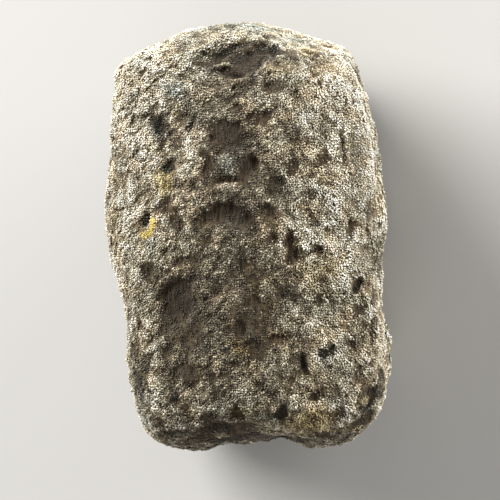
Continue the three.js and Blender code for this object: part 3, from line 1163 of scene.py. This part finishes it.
@dataclass(frozen=True)
class SilicifiedWood:
    """Silicified wood: a log whose cells silica has filled, weathered and then worn round.

    Its bared floors are dull and brown-grey with the wood's streaks still in them, and the
    ground between the quartz grains is darker: painted shade between them. Soil and painted
    shade darken its broad tone.
    """

    MARKS = ("bare", "fibre", "soil_and_shade", "bleached", "ochre", "dark", "chip")

    stains: MineralStainsAndShade = MineralStainsAndShade()
    floor: tuple[str, str] = ("#251e16", "#574a39")
    # dark ground between the grains: painted shade
    ground: tuple[str, str] = ("#322a1e", "#70654f")
    wood: tuple[str, str] = ("#29231c", "#968c76")
    contrast: tuple[float, float] = (0.36, 0.64)  # the noise that is darkest and palest
    streak_width: float = 0.32  # mm, bundles of wood cells
    streak_length: float = 2.4  # mm
    grain: float = 0.34  # mm
    tone: float = 9.0  # mm, the broad change of colour across the block
    soil_and_shade_dark: float = 0.45  # how far soil and painted shade take the broad tone down
    shade: tuple[float, float] = (0.48, 1.3)  # darkest and lightest, times the colour
    shade_top: float = 0.7  # the broad tone that is lightest
    bump: float = 0.12  # mm, the height of streaks and specks
    bump_strength: float = 0.6
    roughness: float = 0.82
    gloss: float = 0.12

    def material(self) -> bpy.types.Material:
        """The stone's own material, for the surface under and between the grains.

        Returns:
            The material, which reads the marks named in MARKS.
        """
        made = empty_material("silicified_wood")
        tree = made.node_tree
        place = add_node(tree, "ShaderNodeTexCoord").outputs["Object"]
        squeeze = self.streak_width / self.streak_length
        inputs = {"Vector": place, "Scale": (1.0, squeeze, 1.0)}
        drawn = add_node(tree, "ShaderNodeMapping", inputs).outputs["Vector"]
        inputs = {"Vector": drawn, "Scale": 1 / (self.streak_width * MM), "Detail": DETAIL}
        streaks = add_node(tree, "ShaderNodeTexNoise", inputs).outputs["Fac"]
        inputs = {"Vector": place, "Scale": 1 / (self.tone * MM), "Detail": DETAIL}
        broad = add_node(tree, "ShaderNodeTexNoise", inputs).outputs["Fac"]
        inputs = {"Vector": place, "Scale": 1 / (self.grain * MM)}
        grains = add_node(tree, "ShaderNodeTexVoronoi", inputs)
        inputs = {"Color": grains.outputs["Color"]}
        speck = add_node(tree, "ShaderNodeSeparateColor", inputs).outputs["Red"]
        start, end = self.contrast
        tops = []
        for share, (deep, pale) in (
            (speck, self.ground),
            (streaks, self.floor),
            (streaks, self.wood),
        ):
            inputs = {"Value": share, "From Min": start, "From Max": end}
            spread = add_node(tree, "ShaderNodeMapRange", inputs).outputs["Result"]
            inputs = {MIX_FACTOR: spread, MIX_A: linear(deep), MIX_B: linear(pale)}
            mix = add_node(tree, "ShaderNodeMix", inputs, data_type="RGBA")
            tops.append(mix.outputs[MIX_RESULT])
        colour, *tops = tops
        for mark, top in zip(("bare", "fibre"), tops, strict=True):
            found = add_node(tree, "ShaderNodeAttribute", attribute_name=mark).outputs["Fac"]
            inputs = {MIX_FACTOR: found, MIX_A: colour, MIX_B: top}
            mix = add_node(tree, "ShaderNodeMix", inputs, data_type="RGBA")
            colour = mix.outputs[MIX_RESULT]
        colour = self.stains.over(tree, colour)
        # Soil and painted shade darken the broad tone.
        soil_and_shade = add_node(tree, "ShaderNodeAttribute", attribute_name="soil_and_shade").outputs["Fac"]
        inputs = {0: soil_and_shade, 1: -self.soil_and_shade_dark, 2: broad}
        less_soil_and_shade = add_node(tree, "ShaderNodeMath", inputs, operation="MULTIPLY_ADD").outputs[0]
        darkest, lightest = self.shade
        inputs = {
            "Value": less_soil_and_shade,
            "From Min": 0.0,
            "From Max": self.shade_top,
            "To Min": darkest,
            "To Max": lightest,
        }
        shade = add_node(tree, "ShaderNodeMapRange", inputs).outputs["Result"]
        inputs = {0: colour, "Scale": shade}
        colour = add_node(tree, "ShaderNodeVectorMath", inputs, operation="SCALE").outputs[0]
        inputs = {0: streaks, 1: speck}
        height = add_node(tree, "ShaderNodeMath", inputs, operation="ADD").outputs[0]
        inputs = {"Height": height, "Strength": self.bump_strength, "Distance": self.bump * MM}
        bump = add_node(tree, "ShaderNodeBump", inputs).outputs["Normal"]
        inputs = {
            "Base Color": colour,
            "Roughness": self.roughness,
            "IOR": QUARTZ_IOR,
            "Specular IOR Level": self.gloss,
            "Normal": bump,
        }
        surface = add_node(tree, "ShaderNodeBsdfPrincipled", inputs).outputs["BSDF"]
        add_node(tree, "ShaderNodeOutputMaterial", {"Surface": surface})
        return made


@dataclass(frozen=True)
class QuartzGrains:
    """Drusy quartz: sand-sized crystals, milky to smoky, that glint on single facets."""

    MARKS = ("tone", "bleached", "ochre", "dark", "chip")

    stains: MineralStainsAndShade = MineralStainsAndShade()
    tones: tuple[tuple[float, str], ...] = (
        (0.0, "#3e372b"),
        (0.35, "#817865"),
        (0.7, "#c1baa5"),
        (1.0, "#edeae0"),
    )
    roughness: float = 0.55
    gloss: float = 0.35

    def material(self) -> bpy.types.Material:
        """The grains' material, by each grain's own tone.

        Returns:
            The material, which reads the marks named in MARKS.
        """
        made = empty_material("quartz_grains")
        tree = made.node_tree
        tone = add_node(tree, "ShaderNodeAttribute", attribute_name="tone").outputs["Fac"]
        ramp = add_node(tree, "ShaderNodeValToRGB", {"Fac": tone})
        stops = ramp.color_ramp.elements
        while len(stops) < len(self.tones):
            stops.new(0.5)
        for stop, (at, colour) in zip(stops, self.tones, strict=True):
            stop.position = at
            stop.color = linear(colour)
        inputs = {
            "Base Color": self.stains.over(tree, ramp.outputs["Color"]),
            "Roughness": self.roughness,
            "IOR": QUARTZ_IOR,
            "Specular IOR Level": self.gloss,
        }
        surface = add_node(tree, "ShaderNodeBsdfPrincipled", inputs).outputs["BSDF"]
        add_node(tree, "ShaderNodeOutputMaterial", {"Surface": surface})
        return made


def make_piece(
    name: str, points: Array, faces: Array, marks: dict[str, Array]
) -> bpy.types.Object:
    """Puts a surface into a mesh, with its marks as attributes of its points.

    Args:
        name: the piece's name.
        points: positions in millimetres, one row each.
        faces: rows of three or four point numbers.
        marks: one number for each point, by name.

    Returns:
        The new object, which stands for the frame's node.
    """
    mesh = bpy.data.meshes.new(name)
    mesh.vertices.add(len(points))
    mesh.vertices.foreach_set("co", (points * MM).astype(np.float32).ravel())
    mesh.loops.add(faces.size)
    mesh.loops.foreach_set("vertex_index", faces.astype(np.int32).ravel())
    mesh.polygons.add(len(faces))
    mesh.polygons.foreach_set("loop_start", np.arange(0, faces.size, faces.shape[1]))
    mesh.update(calc_edges=True)
    for mark, values in marks.items():
        made = mesh.attributes.new(mark, "FLOAT", "POINT")
        made.data.foreach_set("value", values.astype(np.float32))
    piece = put_in_scene(name, mesh)
    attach(piece, "root")
    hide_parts(NODE)
    return piece


@dataclass
class QuartzCrust:
    """The quartz grains on the stone: irregular octahedra, half sunk in its surface.

    Space is divided into scattered cells. A cell that the surface crosses may hold one grain,
    at the middle of the patch that it cuts out and about as wide as that patch. Fewer of them
    do on bared floors, on fibre and on the bed.
    """

    # An octahedron's corners, its eight facets by corner, and where a facet's corners lie in
    # its grain's square of the UV map.
    CORNERS = np.array(
        [[1, 0, 0], [-1, 0, 0], [0, 1, 0], [0, -1, 0], [0, 0, 1], [0, 0, -1]], dtype=float
    )
    FACETS = np.array(
        [[0, 2, 4], [2, 1, 4], [1, 3, 4], [3, 0, 4], [2, 0, 5], [1, 2, 5], [3, 1, 5], [0, 3, 5]]
    )
    FACET_MAP = np.array([[0.15, 0.15], [0.85, 0.15], [0.5, 0.85]])
    SAMPLES = (1 / 6, 1 / 2, 5 / 6)  # places across a face, the middles of thirds of it
    CELLS = 1024  # more cells than the stone spans, so that each gets its own number

    finish: QuartzGrains = field(default_factory=QuartzGrains)
    cell: float = 0.315  # mm
    fill: float = 1.05  # a grain's radius over its patch's
    stretch: float = 1.7  # a grain's length over its width
    uneven: tuple[float, float] = (0.75, 1.25)  # each corner's least and most reach
    sway: float = 0.6  # how far a grain's long way strays from the ridges'
    comb: float = 0.8  # how strongly the long ways follow the ridges
    laid: float = 0.8  # how nearly the long ways are laid in the surface
    fan: float = 8.0  # mm from the middle, where the ridges have mostly turned outward
    float_out: float = 0.2  # of its radius, how far a grain may stand in or out
    heap: float = 0.2  # mm, how high small heaps of grains stand
    heap_size: tuple[float, float] = (1.3, 0.52)  # mm, their length and width
    clump: float = 0.6  # mm, a clump of grains that share a tone
    gap: float = 0.9  # mm, a gap in the cover on bared ground
    gap_depth: float = 0.4  # how far the gaps' noise shifts the cover, before it fades
    cover_fade: tuple[float, float] = (0.12, 0.85)
    least_cover: float = 0.5  # the share of cells that hold a grain on the barest floor
    fibre_lost: float = 0.55  # the share of the grains that fibre has lost
    bed_lost: float = 0.4  # the share of the grains that the bed has lost
    bare_shrink: float = 0.35  # how much smaller the grains are on a bare floor
    tone: float = 0.78  # 0 for smoky, 1 for milky
    tone_spread: tuple[float, float] = (0.12, 0.08)  # everywhere, and more on bare floors
    tone_high: float = 0.9  # painted light and shade: lighter on high ground, darker on low
    tone_heap: float = 0.17  # painted light: how much lighter the top of a heap is
    tone_clump: float = 0.13  # how much clumps differ
    # Grains darken in soil and painted shade, on bared floors as painted shade, and on the bed.
    darkening: tuple[tuple[str, float], ...] = (("soil_and_shade", 0.8), ("bare", 0.45), ("bed", 0.1))
    least: float = 0.06  # mm, the smallest radius
    seed: int = 23

    def spread(self, stone: Surface, marks: dict[str, Array]) -> dict[str, Array]:
        """Finds the patches, and which of them hold a grain.

        Args:
            stone: the finished surface, in millimetres.
            marks: its marks.

        Returns:
            Each grain's middle, radius and outward way, and its marks by their names.
        """
        rng = np.random.default_rng(self.seed)
        corner = stone.points[stone.faces]
        samples = []
        for a, b in itertools.product(self.SAMPLES, repeat=2):
            share = np.array([(1 - a) * (1 - b), a * (1 - b), a * b, (1 - a) * b])
            samples.append(np.einsum("k,fkx->fx", share, corner))
        place = np.concatenate(samples)
        crossed = np.cross(corner[:, 2] - corner[:, 0], corner[:, 3] - corner[:, 1])
        share = np.linalg.norm(crossed, axis=1) / (2.0 * len(samples))  # of its face's area
        area = np.tile(share, len(samples))
        _, cell = GradientNoise(self.seed).cells(place / self.cell)
        x, y, z = (cell + self.CELLS // 2).T
        _, first, index, count = np.unique(
            (x * self.CELLS + y) * self.CELLS + z,
            return_index=True,
            return_inverse=True,
            return_counts=True,
        )
        index = index.reshape(-1)
        middle = np.stack([np.bincount(index, place[:, k]) / count for k in range(3)], axis=1)
        radius = np.sqrt(np.bincount(index, area) / np.pi)
        at = stone.faces[first % len(stone.faces), 0]
        chance = rng.uniform(0.0, 1.0, len(middle))
        gaps = GradientNoise(self.seed + 2).value(middle / self.gap)
        cover = ease(1.0 - marks["bare"][at] + self.gap_depth * gaps, *self.cover_fade)
        cover = self.least_cover + (1.0 - self.least_cover) * cover
        cover = cover * (1.0 - self.fibre_lost * marks["fibre"][at])
        cover = cover * (1.0 - self.bed_lost * marks["bed"][at])
        kept = (radius > self.least) & (chance < cover)
        found = {name: values[at][kept] for name, values in marks.items()}
        found |= {"middle": middle[kept], "radius": radius[kept]}
        found["out"] = stone.normals()[at][kept]
        return found

    def octahedra(self, found: dict[str, Array], rng: np.random.Generator) -> Array:
        """Each grain's six corners about its middle, with its long way along the ridges.

        The long way is drawn near the ridges' own, and mostly laid in the surface. The other
        two are square to it, and every corner reaches a little further or less far.

        Args:
            found: the grains' middles and outward ways.
            rng: where the draws come from.

        Returns:
            Corners by grain, for a radius of 1.
        """
        count = len(found["radius"])
        right, up, _ = Side.FRONT.axes()
        lean = np.tanh(found["middle"] @ right / self.fan)
        first = self.comb * up - self.comb * lean[:, None] * right
        first = first + self.sway * rng.normal(size=(count, 3))
        outward = (first * found["out"]).sum(axis=1, keepdims=True)
        first -= self.laid * outward * found["out"]
        first /= np.linalg.norm(first, axis=1, keepdims=True)
        third = np.cross(first, rng.normal(size=(count, 3)))
        third /= np.linalg.norm(third, axis=1, keepdims=True)
        axes = np.stack([first, np.cross(third, first), third], axis=1)
        lengths = rng.uniform(*self.uneven, (count, 6, 1))
        lengths[:, :2] *= np.sqrt(self.stretch)
        lengths[:, 2:] /= np.sqrt(np.sqrt(self.stretch))
        return (self.CORNERS * lengths) @ axes

    def tones(self, found: dict[str, Array], heap: Array, rng: np.random.Generator) -> Array:
        """Each grain's tone, 0 for smoky to 1 for milky: lighter up high, darker in soil.

        Lighter high ground and heap tops and darker low ground and bare floors are painted
        light and shade. Soil is dirt, and painted shade on the front.

        Args:
            found: the grains' middles and marks.
            heap: how far up its heap each grain is.
            rng: where the draws come from.

        Returns:
            One number for each grain.
        """
        even, more = self.tone_spread
        clump = GradientNoise(self.seed + 4).value(found["middle"] / self.clump)
        tone = rng.normal(self.tone, even + more * found["bare"])
        # painted light and shade: lighter on high ground and on the tops of heaps
        tone = tone + self.tone_high * (found["high"] - 0.5)
        tone += self.tone_heap * heap + self.tone_clump * clump
        tone -= sum(weight * found[mark] for mark, weight in self.darkening)
        return np.clip(tone, 0.0, 1.0)

    def map_grains(self, piece: bpy.types.Object, count: int) -> None:
        """Gives a piece a UV map with one square for each grain, in rows.

        Args:
            piece: the piece, whose grains follow each other.
            count: how many grains it has.
        """
        rows = np.ceil(np.sqrt(count))
        square = np.stack([np.arange(count) % rows, np.arange(count) // rows], axis=1)
        spots = np.tile(self.FACET_MAP, (len(self.FACETS), 1))
        spread = (square[:, None] + spots) / rows
        layer = piece.data.uv_layers.new(name="OFBake")
        layer.data.foreach_set("uv", spread.astype(np.float32).ravel())

    def build(self, stone: Surface, marks: dict[str, Array]) -> list[bpy.types.Object]:
        """Makes the grains in four pieces: front and back, by the head end and the foot end.

        Args:
            stone: the finished surface, in millimetres.
            marks: its marks.

        Returns:
            The pieces.
        """
        found = self.spread(stone, marks)
        rng = np.random.default_rng(self.seed + 1)
        corners = self.octahedra(found, rng)
        heap = flow(found["middle"], GradientNoise(self.seed + 3), *self.heap_size)
        found["tone"] = self.tones(found, heap, rng)
        float_out = rng.uniform(-self.float_out, self.float_out, len(heap))
        lift = float_out * found["radius"] + self.heap * heap
        middle = found["middle"] + found["out"] * lift[:, None]
        size = self.fill * found["radius"] * (1.0 - self.bare_shrink * found["bare"])
        points = middle[:, None] + size[:, None, None] * corners
        points[..., 2] = np.maximum(points[..., 2], 0.0)  # the bed's grains are rubbed flat
        material = self.finish.material()
        front = found["out"] @ Side.FRONT.axes()[2] > 0
        head = found["middle"][:, 1] > 0
        pieces = []
        for name, chosen in (
            ("quartz_grains_front_head", front & head),
            ("quartz_grains_front_foot", front & ~head),
            ("quartz_grains_back_head", ~front & head),
            ("quartz_grains_back_foot", ~front & ~head),
        ):
            each = len(self.CORNERS)
            marked = {mark: np.repeat(found[mark][chosen], each) for mark in self.finish.MARKS}
            start = each * np.arange(chosen.sum())
            faces = (start[:, None, None] + self.FACETS).reshape(-1, 3)
            piece = make_piece(name, points[chosen].reshape(-1, 3), faces, marked)
            self.map_grains(piece, chosen.sum())
            piece.data.materials.append(material)
            pieces.append(piece)
        return pieces


@dataclass
class PetrifiedWood:
    """The whole stone: the worn and weathered block, and the quartz grains that crust it."""

    block: WornBlock = field(default_factory=WornBlock)
    weathering: Weathering = field(default_factory=Weathering)
    crust: QuartzCrust = field(default_factory=QuartzCrust)
    finish: SilicifiedWood = field(default_factory=SilicifiedWood)
    inset: float = 0.2  # mm that the grains stand proud

    def build(self) -> list[bpy.types.Object]:
        """Makes the stone and its grains, and dresses them.

        Returns:
            The pieces, the stone first.
        """
        stone = self.block.surface()
        self.weathering.weather(stone)
        self.weathering.settle(stone, self.inset)
        marks = self.weathering.marks
        read = {name: marks[name] for name in self.finish.MARKS}
        piece = make_piece("stone", stone.points, stone.faces, read)
        piece.data.shade_smooth()
        piece.data.materials.append(self.finish.material())
        return [piece, *self.crust.build(stone, marks)]


@dataclass(frozen=True)
class SoftBox:
    """A soft area light, by the way it stands from the stone: about Z from +X, and up."""

    name: str
    turn: float
    rise: float
    away: float  # metres
    size: tuple[float, float]  # metres
    watts: float
    colour: str = "#ffffff"

    def build(self, middle: Vector) -> None:
        """Makes the light, facing the stone's middle.

        Args:
            middle: the stone's middle, in metres.
        """
        light = bpy.data.lights.new(self.name, "AREA")
        light.shape = "RECTANGLE"
        light.size, light.size_y = self.size
        light.energy = self.watts
        light.color = linear(self.colour)[:3]
        lamp = put_in_scene(self.name, light)
        turn, rise = np.radians(self.turn), np.radians(self.rise)
        way = Vector((np.cos(rise) * np.cos(turn), np.cos(rise) * np.sin(turn), np.sin(rise)))
        lamp.location = middle + way * self.away
        lamp.rotation_euler = way.to_track_quat("Z", "Y").to_euler()


@dataclass
class Studio:
    """A pale floor, soft light and the camera, which looks down on the leaning front."""

    view_turn: float = 27.0  # degrees from straight down, towards +X
    away: float = 0.4  # metres
    span: float = 0.0707  # metres across the picture at the stone's middle
    sensor: float = 36.0  # mm
    near: float = 0.01  # metres, where the camera starts to see
    middle: tuple[float, float, float] = (0.0, 0.0, 0.016)
    aim: tuple[float, float] = (0.00018, -0.00188)  # right and up of the middle, metres
    floor_size: float = 3.0  # metres
    floor_colour: str = "#aeaca8"
    floor_roughness: float = 0.9
    floor_glow: float = 0.12
    ambient: float = 0.2
    lights: tuple[SoftBox, ...] = (
        SoftBox("head_light", 90, 22, 1.2, (1.0, 0.6), 2.4),
        SoftBox("left_light", 138, 28, 1.2, (1.0, 0.72), 42.0),
        SoftBox("right_light", 33, 8, 1.2, (1.0, 0.28), 24.0),
        SoftBox("foot_fill", 272, 14, 1.2, (1.0, 0.48), 7.0),
    )

    def camera(self) -> None:
        """Adds the camera: a long lens, held so that the stone's length runs up the picture."""
        turn = np.radians(self.view_turn)
        back = Vector((np.sin(turn), 0.0, np.cos(turn)))
        right = Vector((np.cos(turn), 0.0, -np.sin(turn)))
        up = Vector((0.0, 1.0, 0.0))
        lens = bpy.data.cameras.new("camera")
        lens.sensor_width = self.sensor
        lens.lens = lens.sensor_width * self.away / self.span
        lens.clip_start = self.near
        made = put_in_scene("camera", lens)
        spot = Vector(self.middle) + right * self.aim[0] + up * self.aim[1]
        turned = Matrix((right, up, back)).transposed().to_4x4()
        made.matrix_world = Matrix.Translation(spot + back * self.away) @ turned
        bpy.context.scene.camera = made

    def floor(self) -> None:
        """Adds a plain pale floor at the height the stone rests on."""
        half = self.floor_size / 2
        mesh = bpy.data.meshes.new("floor")
        corners = [(-half, -half, 0), (half, -half, 0), (half, half, 0), (-half, half, 0)]
        mesh.from_pydata(corners, [], [(0, 1, 2, 3)])
        paper = bpy.data.materials.new("matt_paper")
        paper.use_nodes = True
        shader = paper.node_tree.nodes["Principled BSDF"]
        shader.inputs["Base Color"].default_value = linear(self.floor_colour)
        shader.inputs["Roughness"].default_value = self.floor_roughness
        shader.inputs["Emission Color"].default_value = linear(self.floor_colour)
        shader.inputs["Emission Strength"].default_value = self.floor_glow
        mesh.materials.append(paper)
        made = put_in_scene("floor", mesh)

    def build(self) -> None:
        """Sets up the camera, floor, lights and a dim, even surround."""
        self.camera()
        self.floor()
        for box in self.lights:
            box.build(Vector(self.middle))
        world = bpy.data.worlds.new("surround")
        world.use_nodes = True
        shader = world.node_tree.nodes["Background"]
        shader.inputs["Color"].default_value = (1.0, 1.0, 1.0, 1.0)
        shader.inputs["Strength"].default_value = self.ambient
        bpy.context.scene.world = world
        bpy.context.scene.view_settings.view_transform = "Standard"


def main() -> None:
    """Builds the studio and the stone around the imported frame."""
    logging.basicConfig(level=logging.INFO, format="%(name)s: %(message)s")
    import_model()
    Studio().build()
    for piece in PetrifiedWood().build():
        LOG.info("%s: %d faces", piece.name, len(piece.data.polygons))


if __name__ == "__main__":
    main()
